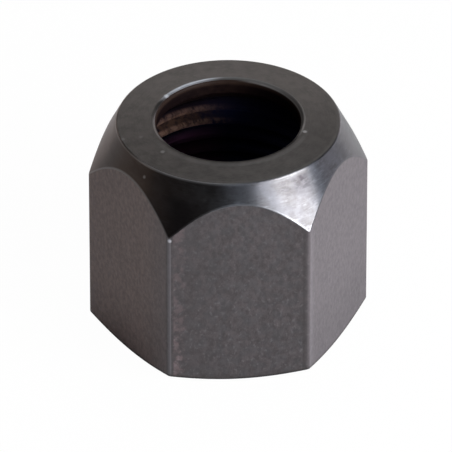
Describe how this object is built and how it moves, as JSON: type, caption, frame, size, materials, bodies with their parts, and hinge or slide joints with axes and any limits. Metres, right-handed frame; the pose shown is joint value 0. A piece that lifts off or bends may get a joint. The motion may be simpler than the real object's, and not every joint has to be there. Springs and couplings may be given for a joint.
{
  "type": "collet nut",
  "caption": "Hexagon collet nut with a coned nose: it screws onto a cutter spindle and draws the collet in round the shank.",
  "frame": {"origin": "centre of the open end's face, which the nut stands on", "axes": "+Z along the thread's axis from the open end to the nose, +X through a corner of the hexagon, +Y square to a flat"},
  "size_m": [0.0252, 0.022, 0.0211],
  "materials": {
    "blackened_steel": "black oxide, satin on the turned faces and matt on the flats"
  },
  "bodies": {
    "root": {"collet_nut": "blackened_steel"}
  },
  "joints": []
}
